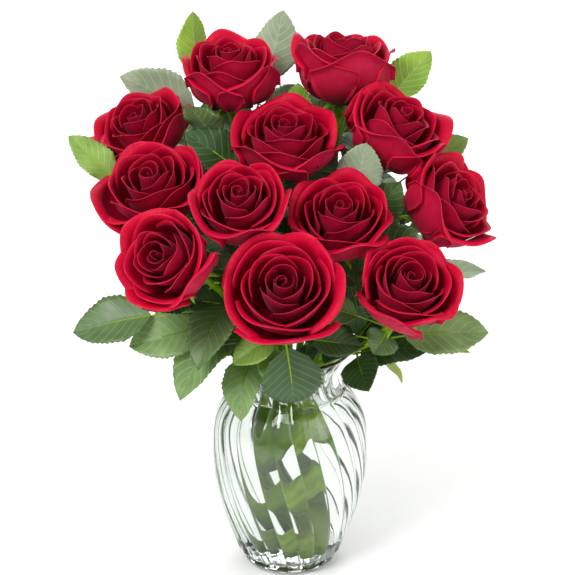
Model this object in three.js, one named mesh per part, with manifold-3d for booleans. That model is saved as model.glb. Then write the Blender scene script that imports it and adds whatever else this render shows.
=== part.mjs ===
// A dozen long-stemmed roses with their foliage, standing in a swirled glass vase of water.
// Millimetres, +Z up. The origin is the centre of the vase's flat underside.
import * as THREE from 'three';
import { mergeVertices } from 'three/addons/utils/BufferGeometryUtils.js';
import Module from 'manifold-3d';

const wasm = await Module();
wasm.setup();

// ---- Driving dimensions ----

const GAP = 0.3;

// Vase: outer silhouette from the flat underside up to the flared lip, as [radius, height].
const VASE_OUTSIDE = [
  [33, 0], [37.2, 3], [41, 10], [45, 20], [50, 33], [54.6, 47], [58.4, 62], [61, 78],
  [62, 96], [61.4, 114], [58.6, 128], [53, 139], [46.4, 148], [41.6, 155], [39.8, 163],
  [40.6, 171], [44, 178], [49, 184],
];
const VASE_WALL = 3.2;
const VASE_FLOOR = 9;
const VASE_SIDES = 24;
const WATER_TOP = 149;

// Stems: a spiralled bundle in the vase that opens above the neck.
const STEM_RADIUS = 3.1;
const STEM_SIDES = 6;
const STEM_STEPS = 12;
const STEM_FOOT_HEIGHT = 13;
const NECK_HEIGHT = 165;
const OUTER_RING = 20;
const INNER_RING = 9;
const BUNDLE_TWIST = 48;
const HIP_RADIUS = 5.4;
const HIP_LENGTH = 11;

// Blooms: the outline of an open rose, as [radius / diameter, height / depth].
const BLOOM_OUTLINE = [
  [0, 0], [0.09, 0], [0.21, 0.07], [0.33, 0.2], [0.42, 0.4], [0.47, 0.6], [0.5, 0.8],
  [0.46, 0.93], [0.28, 1], [0, 0.95],
];
const BLOOM_SIDES = 15;
const BLOOM_LOBES = 5;
const BLOOM_LOBE_DEPTH = 0.035;

// Roses: centre of the bloom, the way it faces (azimuth from the front towards +X, elevation,
// degrees), its diameter and depth, and where its stem stands in the bundle (ring, degrees).
const ROSES = [
  { at: [-46, 47, 394], faces: [-10, 78], size: [74, 54], ring: OUTER_RING, slot: 110 },
  { at: [40, 56, 396], faces: [10, 80], size: [77, 52], ring: OUTER_RING, slot: 70 },
  { at: [-114, 41, 350], faces: [-50, 58], size: [76, 46], ring: OUTER_RING, slot: 150 },
  { at: [79, 8, 361], faces: [52, 60], size: [76, 54], ring: OUTER_RING, slot: 30 },
  { at: [-3, -4, 356], faces: [0, 72], size: [81, 46], ring: INNER_RING, slot: 90 },
  { at: [-103, -36, 329], faces: [-24, 62], size: [84, 46], ring: OUTER_RING, slot: 190 },
  { at: [-37, -72, 328], faces: [-6, 60], size: [73, 48], ring: INNER_RING, slot: 210 },
  { at: [37, -56, 311], faces: [4, 62], size: [78, 50], ring: INNER_RING, slot: 330 },
  { at: [119, -22, 311], faces: [62, 40], size: [77, 54], ring: OUTER_RING, slot: -10 },
  { at: [-88, -104, 298], faces: [-36, 32], size: [75, 52], ring: OUTER_RING, slot: 230 },
  { at: [-5, -122, 281], faces: [0, 50], size: [87, 48], ring: OUTER_RING, slot: 270 },
  { at: [86, -95, 273], faces: [20, 54], size: [78, 50], ring: OUTER_RING, slot: 310 },
];

// Leaves: the rose whose stem carries it and the height of the joint, where the tip ends, the
// length and width of the blade. A leaf is one blade or three on a shared stalk. Its upper side
// faces up and outwards unless `top` says otherwise; `bow` is the arch of the stalk and midrib.
const LEAVES = [
  { stem: 1, from: 326, tip: [-5, 98, 430], blade: 57, width: 36, top: [0.4, 1, 0] },
  { stem: 1, from: 312, tip: [-76, 94, 430], blade: 52, width: 28, bow: 0.3 },
  { stem: 1, from: 336, tip: [-134, 84, 380], blade: 66, width: 42, top: [-0.1, 0.8, 0.4] },
  { stem: 2, from: 305, tip: [110, 72, 404], blade: 54, width: 36, top: [-0.2, 1, 0.2] },
  { stem: 6, from: 275, tip: [-168, 4, 357], blade: 50, width: 26, top: [0, -0.6, 0.8] },
  { stem: 5, from: 295, tip: [-80, 8, 358], blade: 56, width: 38, top: [0, -0.6, 0.8] },
  { stem: 1, from: 290, tip: [-84, 2, 384], blade: 46, width: 30, top: [0.3, 1, 0.4] },
  { stem: 5, from: 285, tip: [13, 36, 400], blade: 44, width: 24, bow: 0.2 },
  { stem: 8, from: 262, tip: [60, -26, 366], blade: 50, width: 34, top: [0.2, 1, 0.3] },
  { stem: 4, from: 262, tip: [88, -24, 336], blade: 52, width: 36, top: [0.2, -0.8, 0.5] },
  { stem: 8, from: 245, tip: [96, -46, 300], blade: 62, width: 42, top: [0.1, -0.7, 0.6] },
  { stem: 9, from: 225, tip: [148, -40, 264], blade: 58, width: 40, top: [-0.2, 0.8, 0.5] },
  { stem: 12, from: 196, tip: [106, -60, 208], blade: 62, width: 38, top: [0, -0.5, 0.9],
    leaflets: 3 },
  { stem: 12, from: 216, tip: [150, -58, 221], blade: 64, width: 40, top: [0.2, -0.6, 0.7] },
  { stem: 9, from: 200, tip: [140, -20, 188], blade: 58, width: 15, top: [0, -0.5, 0.9] },
  { stem: 4, from: 194, tip: [88, -18, 161], blade: 36, width: 17, bow: 0.3 },
  { stem: 10, from: 236, tip: [-165, -46, 216], blade: 62, width: 40, top: [-0.2, -0.6, 0.8] },
  { stem: 10, from: 222, tip: [-122, -54, 208], blade: 58, width: 38, top: [-0.3, -0.7, 0.6] },
  { stem: 10, from: 208, tip: [-84, -80, 180], blade: 72, width: 46, bow: 0.5 },
  { stem: 7, from: 238, tip: [-62, -84, 214], blade: 64, width: 38, bow: 0.45 },
  { stem: 11, from: 220, tip: [-44, -84, 207], blade: 42, width: 26, bow: 0.3 },
  { stem: 11, from: 230, tip: [-2, -76, 171], blade: 58, width: 44, bow: 0.3 },
  { stem: 10, from: 192, tip: [-37, -68, 152], blade: 60, width: 32, bow: 0.55 },
  { stem: 11, from: 204, tip: [-8, -98, 188], blade: 38, width: 27, bow: 0.4 },
  { stem: 8, from: 262, tip: [50, -50, 216], blade: 54, width: 32, bow: 0.45 },
  { stem: 12, from: 228, tip: [62, -86, 216], blade: 38, width: 26, bow: 0.3 },
  { stem: 4, from: 285, tip: [140, 26, 346], blade: 50, width: 30, top: [0.2, -0.6, 0.8] },
  { stem: 1, from: 250, tip: [-72, 122, 292], blade: 56, width: 38, leaflets: 3 },
  { stem: 2, from: 250, tip: [64, 126, 302], blade: 58, width: 40, leaflets: 3 },
  { stem: 3, from: 230, tip: [-128, 88, 250], blade: 58, width: 40, leaflets: 3 },
  { stem: 4, from: 220, tip: [116, 78, 246], blade: 58, width: 38, leaflets: 3 },
  { stem: 1, from: 205, tip: [-48, 98, 200], blade: 52, width: 36, leaflets: 3, bow: 0.3 },
  { stem: 2, from: 205, tip: [48, 100, 206], blade: 54, width: 36, leaflets: 3, bow: 0.3 },
  { stem: 5, from: 250, tip: [-4, 120, 332], blade: 58, width: 40, leaflets: 3 },
];
// Half-width of a blade along its midrib, as [share of its length, share of its half-width].
const LEAF_OUTLINE = [
  [0.14, 0.62], [0.34, 1], [0.55, 0.96], [0.76, 0.68], [0.9, 0.36], [1, 0.04],
];
const STALK_ROWS = 3;
const STALK_WIDTH = 2.2;
const BLADE_THICKNESS = 0.9;
const LEAF_FOLD = 0.22;
const LEAF_BOW = 0.14;
const SIDE_LEAFLET_ANGLE = 64;
const SIDE_LEAFLET_SIZE = 0.78;
const SIDE_LEAFLET_SETBACK = 11;
const STALK_FREE = 15;
const LEAF_CLEARANCE = 1.6;
const SETTLE_TRIES = 240;
const SETTLE_REACH = 26;

// ---- Small helpers ----

const UP = new THREE.Vector3(0, 0, 1);

function radians(degrees) {
  return THREE.MathUtils.degToRad(degrees);
}

function vector([x, y, z]) {
  return new THREE.Vector3(x, y, z);
}

function onRing(radius, degrees, height) {
  const angle = radians(degrees);
  return new THREE.Vector3(radius * Math.cos(angle), radius * Math.sin(angle), height);
}

function facing([azimuth, elevation]) {
  const flat = Math.cos(radians(elevation));
  const across = Math.sin(radians(azimuth)) * flat;
  const forward = -Math.cos(radians(azimuth)) * flat;
  return new THREE.Vector3(across, forward, Math.sin(radians(elevation)));
}

function closed(geometry) {
  geometry.deleteAttribute('normal');
  geometry.deleteAttribute('uv');
  return mergeVertices(geometry, 1e-3);
}

function toManifold(geometry) {
  const merged = closed(geometry);
  const mesh = new wasm.Mesh({
    numProp: 3,
    vertProperties: new Float32Array(merged.attributes.position.array),
    triVerts: new Uint32Array(merged.index.array),
  });
  return new wasm.Manifold(mesh);
}

function fromManifold(solid) {
  const mesh = solid.getMesh();
  const geometry = new THREE.BufferGeometry();
  const position = new THREE.BufferAttribute(mesh.vertProperties, 3);
  geometry.setAttribute('position', position);
  geometry.setIndex(new THREE.BufferAttribute(mesh.triVerts, 1));
  return geometry;
}

function named(name, geometry, color, roughness, metalness = 0) {
  const material = new THREE.MeshStandardMaterial({ color, roughness, metalness });
  const mesh = new THREE.Mesh(geometry, material);
  mesh.name = name;
  return mesh;
}

// A lathe about +Z from [radius, height] pairs that start and end on the axis.
function turned(outline, sides) {
  const points = outline.map(([radius, height]) => new THREE.Vector2(radius, height));
  const geometry = closed(new THREE.LatheGeometry(points, sides));
  geometry.rotateX(Math.PI / 2);
  return geometry;
}

function radiusAt(outline, height) {
  for (let i = 1; i < outline.length; i += 1) {
    const [r0, z0] = outline[i - 1];
    const [r1, z1] = outline[i];
    if (height <= z1) {
      return r0 + ((r1 - r0) * (height - z0)) / (z1 - z0);
    }
  }
  return outline.at(-1)[0];
}

// ---- Vase and water ----

function vaseInside() {
  const above = VASE_OUTSIDE.filter(([, height], i) => height > VASE_FLOOR + 2 && i % 2 === 1);
  const wall = above.map(([radius, height]) => [radius - VASE_WALL, height]);
  const corner = radiusAt(VASE_OUTSIDE, VASE_FLOOR) - VASE_WALL - 2;
  return [[corner, VASE_FLOOR], ...wall];
}

function makeVase() {
  const inside = vaseInside().reverse();
  const lip = [inside[0][0] + VASE_WALL / 2, inside[0][1] + 1];
  return turned([[0, 0], ...VASE_OUTSIDE, lip, ...inside, [0, VASE_FLOOR]], VASE_SIDES);
}

function waterOutline() {
  const inside = vaseInside();
  const wetted = inside.filter(([, height]) => height > VASE_FLOOR && height < WATER_TOP);
  const sides = wetted.map(([radius, height]) => [radius - GAP, height]);
  const low = [inside[0][0] - GAP, VASE_FLOOR + GAP];
  const high = [radiusAt(inside, WATER_TOP) - GAP, WATER_TOP];
  return [[0, VASE_FLOOR + GAP], low, ...sides, high, [0, WATER_TOP]];
}

// ---- Stems ----

function stemPath(rose) {
  const axis = facing(rose.faces);
  const head = vector(rose.at).addScaledVector(axis, -rose.size[1] / 2 - GAP);
  const neckAngle = rose.slot;
  const foot = onRing(rose.ring, neckAngle - BUNDLE_TWIST, STEM_FOOT_HEIGHT);
  const neck = onRing(rose.ring, neckAngle, NECK_HEIGHT);
  const points = [foot];
  for (const share of [0.33, 0.67, 1]) {
    points.push(foot.clone().lerp(neck, share));
  }
  points.push(head.clone().addScaledVector(axis, -38).lerp(neck, 0.1));
  points.push(head.clone().addScaledVector(axis, -HIP_LENGTH));
  points.push(head);
  return new THREE.CatmullRomCurve3(points, false, 'centripetal');
}

function stemTube(path, radius) {
  const section = new THREE.Shape();
  for (let i = 0; i < STEM_SIDES; i += 1) {
    const angle = (2 * Math.PI * i) / STEM_SIDES;
    const x = radius * Math.cos(angle);
    const y = radius * Math.sin(angle);
    if (i === 0) {
      section.moveTo(x, y);
    } else {
      section.lineTo(x, y);
    }
  }
  const options = { steps: STEM_STEPS, extrudePath: path, bevelEnabled: false };
  return new THREE.ExtrudeGeometry(section, options);
}

// The green swelling under the bloom, about the last stretch of the stem.
function makeHip(path) {
  const outline = [[0, -HIP_LENGTH], [HIP_RADIUS, -4.5], [4.4, 0], [0, 0]];
  const geometry = turned(outline, STEM_SIDES);
  const turn = new THREE.Quaternion().setFromUnitVectors(UP, path.getTangent(1));
  const place = new THREE.Matrix4().compose(path.getPoint(1), turn, new THREE.Vector3(1, 1, 1));
  return geometry.applyMatrix4(place);
}

function makeStem(rose) {
  const path = stemPath(rose);
  const tube = toManifold(stemTube(path, STEM_RADIUS));
  return tube.add(toManifold(makeHip(path)));
}

function makeWater() {
  let water = toManifold(turned(waterOutline(), VASE_SIDES));
  for (const rose of ROSES) {
    water = water.subtract(toManifold(stemTube(stemPath(rose), STEM_RADIUS + GAP * 1.3)));
  }
  return water;
}

// ---- Blooms ----

function makeBloom(rose) {
  const [diameter, depth] = rose.size;
  const outline = BLOOM_OUTLINE.map(([r, h]) => [r * diameter, (h - 0.5) * depth]);
  const geometry = turned(outline, BLOOM_SIDES);
  const position = geometry.attributes.position;
  for (let i = 0; i < position.count; i += 1) {
    const angle = Math.atan2(position.getY(i), position.getX(i));
    const rise = position.getZ(i) / depth + 0.5;
    const lobe = 1 + BLOOM_LOBE_DEPTH * rise * Math.cos(BLOOM_LOBES * angle);
    position.setXY(i, position.getX(i) * lobe, position.getY(i) * lobe);
  }
  return geometry;
}

// ---- Leaves ----

// Where the side leaflets of a leaf spring from its stalk, a little before the end blade.
function forkShare(midrib, bladeFrom) {
  return Math.max(bladeFrom / 2, bladeFrom - SIDE_LEAFLET_SETBACK / midrib.getLength());
}

// One stalk and blade: a thin bar bent along its midrib, as wide as the outline says.
function leaflet(midrib, bladeFrom, width, top) {
  const fork = forkShare(midrib, bladeFrom);
  const stalk = [0, fork / 2, fork, bladeFrom];
  const rows = STALK_ROWS + LEAF_OUTLINE.length;
  const geometry = closed(new THREE.BoxGeometry(2, rows, 1, 2, rows, 1));
  const position = geometry.attributes.position;
  for (let i = 0; i < position.count; i += 1) {
    const row = Math.round(position.getY(i) + rows / 2);
    const onBlade = row > STALK_ROWS;
    const [along, half] = onBlade ? LEAF_OUTLINE[row - STALK_ROWS - 1] : [0, 0];
    const share = onBlade ? bladeFrom + (1 - bladeFrom) * along : stalk[row];
    const tangent = midrib.getTangent(share);
    const side = tangent.clone().cross(top).normalize();
    const normal = side.clone().cross(tangent);
    const reach = onBlade ? half * width * 0.5 : STALK_WIDTH / 2;
    const thickness = onBlade ? BLADE_THICKNESS : STALK_WIDTH;
    const across = position.getX(i) * reach;
    const lift = position.getZ(i) * thickness + (onBlade ? Math.abs(across) * LEAF_FOLD : 0);
    const point = midrib.getPoint(share);
    point.addScaledVector(side, across).addScaledVector(normal, lift);
    position.setXYZ(i, point.x, point.y, point.z);
  }
  return geometry;
}

function sideLeaflet(midrib, bladeFrom, leaf, top, hand) {
  const origin = midrib.getPoint(forkShare(midrib, bladeFrom));
  const tangent = midrib.getTangent(bladeFrom);
  const side = tangent.clone().cross(top).normalize();
  const normal = side.clone().cross(tangent);
  const length = leaf.blade * SIDE_LEAFLET_SIZE;
  const angle = radians(SIDE_LEAFLET_ANGLE);
  const heading = tangent.clone().multiplyScalar(Math.cos(angle));
  heading.addScaledVector(side, hand * Math.sin(angle));
  const middle = origin.clone().addScaledVector(heading, length * 0.55);
  middle.addScaledVector(normal, length * 0.1);
  const end = origin.clone().addScaledVector(heading, length);
  end.addScaledVector(normal, -length * 0.06);
  const branch = new THREE.QuadraticBezierCurve3(origin, middle, end);
  return leaflet(branch, 0.12, leaf.width * SIDE_LEAFLET_SIZE, normal);
}

function pointAtHeight(path, height) {
  let share = 0;
  while (path.getPoint(share).z < height) {
    share += 0.002;
  }
  return share;
}

function makeLeaf(leaf, tip) {
  const stem = stemPath(ROSES[leaf.stem - 1]);
  const share = pointAtHeight(stem, leaf.from);
  const joint = stem.getPoint(share);
  const grain = stem.getTangent(share);
  const outward = tip.clone().sub(joint);
  outward.addScaledVector(grain, -outward.dot(grain)).normalize();
  const start = joint.addScaledVector(outward, STEM_RADIUS + STALK_WIDTH / 2 + 2 * GAP);
  const spread = new THREE.Vector3(tip.x, tip.y, 0).normalize();
  const top = leaf.top ? vector(leaf.top) : spread.add(UP);
  const run = tip.clone().sub(start);
  const arch = top.clone().addScaledVector(run, -top.dot(run) / run.lengthSq()).normalize();
  const middle = start.clone().lerp(tip, 0.5);
  middle.addScaledVector(arch, run.length() * (leaf.bow ?? LEAF_BOW));
  const midrib = new THREE.QuadraticBezierCurve3(start, middle, tip);
  const bladeFrom = Math.max(0.12, 1 - leaf.blade / midrib.getLength());
  let geometry = leaflet(midrib, bladeFrom, leaf.width, arch);
  if (leaf.leaflets === 3) {
    let spray = toManifold(geometry);
    for (const hand of [-1, 1]) {
      spray = spray.add(toManifold(sideLeaflet(midrib, bladeFrom, leaf, arch, hand)));
    }
    geometry = fromManifold(spray);
  }
  geometry.userData.joint = start;
  return geometry;
}

// Points about 4 mm apart over a geometry's faces.
function surfacePoints(geometry) {
  const points = [];
  const { position } = geometry.attributes;
  const corners = [0, 1, 2].map(() => new THREE.Vector3());
  for (let face = 0; face < geometry.index.count; face += 3) {
    corners.forEach((corner, k) => {
      corner.fromBufferAttribute(position, geometry.index.getX(face + k));
    });
    const [a, b, c] = corners;
    const steps = Math.ceil(Math.max(a.distanceTo(b), b.distanceTo(c), c.distanceTo(a)) / 4);
    for (let i = 0; i <= steps; i += 1) {
      for (let j = 0; j <= steps - i; j += 1) {
        const point = a.clone().multiplyScalar(1 - (i + j) / steps);
        points.push(point.addScaledVector(b, i / steps).addScaledVector(c, j / steps));
      }
    }
  }
  return points;
}

// Everything a leaf has to stay clear of, as points with a radius, in a coarse grid.
class Obstacles {
  constructor(cell) {
    this.cell = cell;
    this.grid = new Map();
  }

  key(point, dx = 0, dy = 0, dz = 0) {
    const i = Math.floor(point.x / this.cell) + dx;
    const j = Math.floor(point.y / this.cell) + dy;
    const k = Math.floor(point.z / this.cell) + dz;
    return `${i},${j},${k}`;
  }

  add(points, radius) {
    for (const point of points) {
      const key = this.key(point);
      this.grid.set(key, [...(this.grid.get(key) ?? []), { point, radius }]);
    }
  }

  near(point) {
    const found = [];
    for (const dx of [-1, 0, 1]) {
      for (const dy of [-1, 0, 1]) {
        for (const dz of [-1, 0, 1]) {
          found.push(...(this.grid.get(this.key(point, dx, dy, dz)) ?? []));
        }
      }
    }
    return found;
  }

  blocks(point) {
    return this.near(point).some((other) => other.point.distanceTo(point) < other.radius);
  }
}

// ---- The whole arrangement ----

const arrangement = new THREE.Group();
arrangement.add(named('vase', makeVase(), '#dbe5da', 0.05));
arrangement.add(named('water', fromManifold(makeWater()), '#e6efe6', 0.02));

const bundle = new THREE.Group();
const blooms = new THREE.Group();
ROSES.forEach((rose, index) => {
  const label = `rose_${String(index + 1).padStart(2, '0')}`;
  bundle.add(named(`${label}_stem`, fromManifold(makeStem(rose)), '#68862b', 0.6));
  const bloom = named(`${label}_bloom`, makeBloom(rose), '#b00a26', 0.75);
  bloom.position.copy(vector(rose.at));
  bloom.quaternion.setFromUnitVectors(UP, facing(rose.faces));
  bloom.updateMatrixWorld();
  blooms.add(bloom);
});
arrangement.add(bundle, blooms);

const obstacles = new Obstacles(8);
for (const bloom of blooms.children) {
  obstacles.add(surfacePoints(bloom.geometry.clone().applyMatrix4(bloom.matrixWorld)), 4.4);
}
obstacles.add(surfacePoints(closed(makeVase())), 4.4);
for (const rose of ROSES) {
  obstacles.add(stemPath(rose).getSpacedPoints(120), STEM_RADIUS + LEAF_CLEARANCE);
}

// Each leaf takes the free place nearest to where its tip is wanted.
const foliage = new THREE.Group();
LEAVES.forEach((leaf, index) => {
  const leafName = `leaf_${String(index + 1).padStart(2, '0')}`;
  const wanted = vector(leaf.tip);
  for (let attempt = 0; attempt < SETTLE_TRIES; attempt += 1) {
    const reach = (SETTLE_REACH * attempt) / SETTLE_TRIES;
    const turn = attempt * 2.4;
    const rise = Math.sin(attempt * 1.7) * reach;
    const flat = Math.sqrt(reach * reach - rise * rise);
    const shift = new THREE.Vector3(Math.cos(turn) * flat, Math.sin(turn) * flat, rise);
    const geometry = makeLeaf(leaf, wanted.clone().add(shift));
    const points = surfacePoints(geometry);
    const { joint } = geometry.userData;
    const free = points.filter((point) => point.distanceTo(joint) > STALK_FREE);
    if (!free.some((point) => obstacles.blocks(point))) {
      obstacles.add(points, 4.2);
      foliage.add(named(leafName, geometry, '#50623e', 0.5));
      return;
    }
  }
  throw new Error(`${leafName} finds no free place`);
});
arrangement.add(foliage);

export default arrangement;
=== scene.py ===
import math

import bpy
import numpy as np
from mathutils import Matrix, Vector
from mathutils.bvhtree import BVHTree


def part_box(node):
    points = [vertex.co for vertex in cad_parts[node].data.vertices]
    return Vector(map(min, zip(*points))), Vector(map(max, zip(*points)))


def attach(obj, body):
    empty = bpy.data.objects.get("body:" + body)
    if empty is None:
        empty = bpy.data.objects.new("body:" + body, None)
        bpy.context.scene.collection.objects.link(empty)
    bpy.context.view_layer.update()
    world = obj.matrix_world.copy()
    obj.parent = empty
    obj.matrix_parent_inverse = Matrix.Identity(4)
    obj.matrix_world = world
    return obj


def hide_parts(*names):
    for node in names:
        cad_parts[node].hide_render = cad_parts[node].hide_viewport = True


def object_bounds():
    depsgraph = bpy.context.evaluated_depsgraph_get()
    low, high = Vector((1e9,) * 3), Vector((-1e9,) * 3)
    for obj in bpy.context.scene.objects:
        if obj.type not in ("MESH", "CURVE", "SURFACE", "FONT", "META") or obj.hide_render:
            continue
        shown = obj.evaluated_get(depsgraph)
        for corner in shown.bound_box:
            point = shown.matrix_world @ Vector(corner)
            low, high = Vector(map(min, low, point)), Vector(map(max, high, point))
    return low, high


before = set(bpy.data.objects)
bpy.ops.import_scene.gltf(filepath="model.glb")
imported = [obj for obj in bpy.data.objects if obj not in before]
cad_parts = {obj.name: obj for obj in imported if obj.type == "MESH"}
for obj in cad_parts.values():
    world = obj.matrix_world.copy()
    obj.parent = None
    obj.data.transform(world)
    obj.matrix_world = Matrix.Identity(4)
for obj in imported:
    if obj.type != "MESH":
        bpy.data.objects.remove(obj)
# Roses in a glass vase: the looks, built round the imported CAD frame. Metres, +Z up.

CAD_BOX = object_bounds()
MM = 0.001
SEED = 7

# ---- Driving dimensions ----

# Camera: the angle it looks down at, how far it stands and what it looks at.
CAMERA_ELEVATION = math.radians(22)
CAMERA_DISTANCE = 1.70
CAMERA_TARGET = Vector((-0.0018, 0.0, 0.2346))
CAMERA_LENS = 136.8

# Blooms: the petals of the spiral, and where the broad outer petals of each bloom stand
# round its axis, in degrees from its right-hand side. A petal's grid runs from -1 to 1 across:
# its side edges roll beyond EDGE_FROM and its point is TIP_WIDTH wide.
SPIRAL_PETALS = 17
GUARD_PETALS = {
    "rose_01": (90, 190, 350, 238, 300),
    "rose_02": (80, 170, 235, 5, 285),
    "rose_03": (100, 205, 300, 250, 18),
    "rose_04": (75, 130, 205, 262, 322),
    "rose_05": (35, 100, 165, 305, 240),
    "rose_06": (50, 120, 330, 280, 215),
    "rose_07": (60, 130, 200, 340, 270),
    "rose_08": (70, 140, 350, 215, 285),
    "rose_09": (60, 110, 350, 175, 250),
    "rose_10": (95, 150, 210, 265, 335),
    "rose_11": (55, 125, 200, 345, 275),
    "rose_12": (60, 125, 350, 290, 222),
}
GOLDEN_ANGLE = math.radians(137.508)
WALL_ROWS = 13
ROLL_ROWS = 7
PETAL_COLUMNS = 31
EDGE_FROM = 0.68
TIP_WIDTH = 0.3
PETAL_THICKNESS = 0.42 * MM
PETAL_LIFT = 0.6 * MM

# Leaves: the same proportions as the solids they replace.
SIDE_LEAFLET_ANGLE = math.radians(64)
SIDE_LEAFLET_SIZE = 0.78
SIDE_LEAFLET_SETBACK = 11 * MM
LEAF_FOLD = 0.2
LEAF_THICKNESS = 0.45 * MM
LEAF_COLUMNS = 12
LEAF_TEETH = 15
ROWS_PER_TOOTH = 4
STALK_RADIUS = 0.95 * MM

# Foliage that fills the bouquet between the leaves of the CAD: how many leaves, the lowest
# they hang, how far they reach to either side and to the front, and how far apart they stay.
FILL_LEAVES = 170
FILL_TRIES = 15000
FILL_LOWEST = 192 * MM
FILL_REACH = 116 * MM
FILL_FRONT = -90 * MM
FILL_CLEARANCE = 2.5 * MM
FILL_SPACING = 3 * MM
BLOOM_CLEARANCE = 4 * MM

# Stems: the slices are the places where the CAD stem's middle is found.
STEM_RADIUS = 3.1 * MM
STEM_SIDES = 14
STEM_SLICES = 30
STEM_POINTS = 150
HIP_RADIUS = 2.5 * MM
THORNS = 4
SEPALS = 5
SEPAL_LENGTH = 25 * MM

# Vase: the swirled ribs of its outside, and how much thicker the wall grows at its floor.
VASE_RIBS = 22
RIB_DEPTH = 1.7 * MM
RIB_TWIST = math.radians(40)
RIB_SEGMENTS = 14
VASE_ROWS = 100
FLOOR_THICKENING = 3 * MM
FLOOR_BLEND = 22 * MM

ROSES = [f"rose_{number:02d}" for number in range(1, 13)]
LEAVES = sorted(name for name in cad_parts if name.startswith("leaf_"))

# Which look each leaf has; the others are the ordinary dark green. The light, mid and bright
# looks are lighter copies of that green: painted light on the leaves that catch the light.
LEAF_LOOKS = {
    "bright": {"leaf_02", "leaf_04", "leaf_05", "leaf_08", "leaf_21", "leaf_24", "leaf_27"},
    "yellow": {"leaf_15", "leaf_16"},
    "mid": {"leaf_10", "leaf_17", "leaf_20", "leaf_26", "leaf_31"},
    "light": {"leaf_14", "leaf_18", "leaf_19", "leaf_23"},
}
PALE_UNDERSIDES = {"leaf_01", "leaf_03", "leaf_09", "leaf_12"}


# ---- Reading the frame ----

def points_of(node):
    """The CAD node's vertices, each place once."""
    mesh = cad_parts[node].data
    flat = np.empty(3 * len(mesh.vertices))
    mesh.vertices.foreach_get("co", flat)
    return np.unique(flat.reshape(-1, 3).round(7), axis=0)


def area_centre(node):
    """The centre of the CAD node's surface."""
    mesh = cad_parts[node].data
    areas = np.array([face.area for face in mesh.polygons])
    centres = np.array([face.center[:] for face in mesh.polygons])
    return (centres * areas[:, None]).sum(axis=0) / areas.sum()


def unit(v):
    return v / np.linalg.norm(v)


def slice_centre(mesh, height):
    """The middle of the outline that a level plane cuts from a CAD mesh."""
    crossings = []
    for edge in mesh.edges:
        a, b = (mesh.vertices[i].co for i in edge.vertices)
        if (a.z - height) * (b.z - height) < 0:
            crossings.append(a.lerp(b, (height - a.z) / (b.z - a.z))[:])
    low, high = np.min(crossings, axis=0), np.max(crossings, axis=0)
    return (low + high) / 2


def smooth_path(points, count):
    """Points evenly spread along a Catmull-Rom curve through the given ones."""
    padded = np.vstack([2 * points[0] - points[1], points, 2 * points[-1] - points[-2]])
    dense = []
    for i in range(1, len(padded) - 2):
        p0, p1, p2, p3 = padded[i - 1:i + 3]
        for t in np.linspace(0, 1, 12, endpoint=False):
            dense.append(0.5 * (2 * p1 + (p2 - p0) * t + (2 * p0 - 5 * p1 + 4 * p2 - p3) * t ** 2
                                + (3 * p1 - 3 * p2 + p3 - p0) * t ** 3))
    dense.append(points[-1])
    dense = np.array(dense)
    along = np.concatenate([[0], np.cumsum(np.linalg.norm(np.diff(dense, axis=0), axis=1))])
    wanted = np.linspace(0, along[-1], count)
    return np.stack([np.interp(wanted, along, dense[:, k]) for k in range(3)], axis=1)


def bloom_frame(rose):
    """Where the CAD bloom stands: its base, its axis, its radius and its depth."""
    points = points_of(f"{rose}_bloom")
    stem_top = points_of(f"{rose}_stem")
    gaps = np.linalg.norm(points[:, None] - stem_top[None], axis=2).min(axis=1)
    base = points[gaps.argmin()]
    axis = unit(area_centre(f"{rose}_bloom") - base)
    along = (points - base) @ axis
    across = np.linalg.norm(points - base - along[:, None] * axis, axis=1)
    return {"base": base, "axis": axis, "radius": across.max(), "depth": along.max()}


def stem_line(rose, bloom):
    """The stem's centre line from its foot to the base of its bloom."""
    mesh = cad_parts[f"{rose}_stem"].data
    low, high = (corner.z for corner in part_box(f"{rose}_stem"))
    heights = np.linspace(low + 3 * MM, high - 14 * MM, STEM_SLICES)
    middle = [slice_centre(mesh, height) for height in heights]
    foot = middle[0] + (middle[0] - middle[1]) * 0.35
    last = bloom["base"] - bloom["axis"] * 9 * MM
    return smooth_path(np.array([foot, *middle, last, bloom["base"]]), STEM_POINTS)


def leaf_frame(node, stem_points):
    """The leaf's stalk, midrib and size, read off its CAD solid.

    The solid's midrib is a parabola over the line from its base to its tip. The last rows of
    the solid stand at known shares of the blade, and give where it begins and how wide it is.
    """
    points = points_of(node)
    gaps = np.linalg.norm(points[:, None] - stem_points[None], axis=2).min(axis=1)
    start = points[gaps.argmin()]
    base = points[np.linalg.norm(points - start, axis=1).argsort()[:6]].mean(axis=0)
    far = points[np.linalg.norm(points - base, axis=1).argmax()]
    tip = points[np.linalg.norm(points - far, axis=1).argsort()[:6]].mean(axis=0)
    run = tip - base
    length = np.linalg.norm(run)
    heading = run / length
    lean = area_centre(node) - base
    arch = unit(lean - (lean @ heading) * heading)
    side = np.cross(heading, arch)
    share = (points - base) @ heading / length
    rise = (points - base) @ arch
    reach = np.abs((points - base) @ side)
    middle = np.flatnonzero(reach < 0.05 * MM)
    middle = middle[share[middle].argsort()[::-1]]
    near_tip = share[middle[2:4]].mean()
    blade_from = 1 - (1 - near_tip) / 0.1
    half_way = share[middle[6:8]].mean()
    bow = rise[middle[6:8]].mean() / (2 * half_way * (1 - half_way) * length)
    upper_part = share > blade_from + (1 - blade_from) * 0.72
    width = 2 * reach[upper_part].max() / 0.68
    return {
        "start": base, "middle": (base + tip) / 2 + arch * bow * length, "end": tip,
        "blade_from": blade_from, "width": width, "top": arch, "spray": len(points) > 90,
    }


# ---- Mesh building ----

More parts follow.
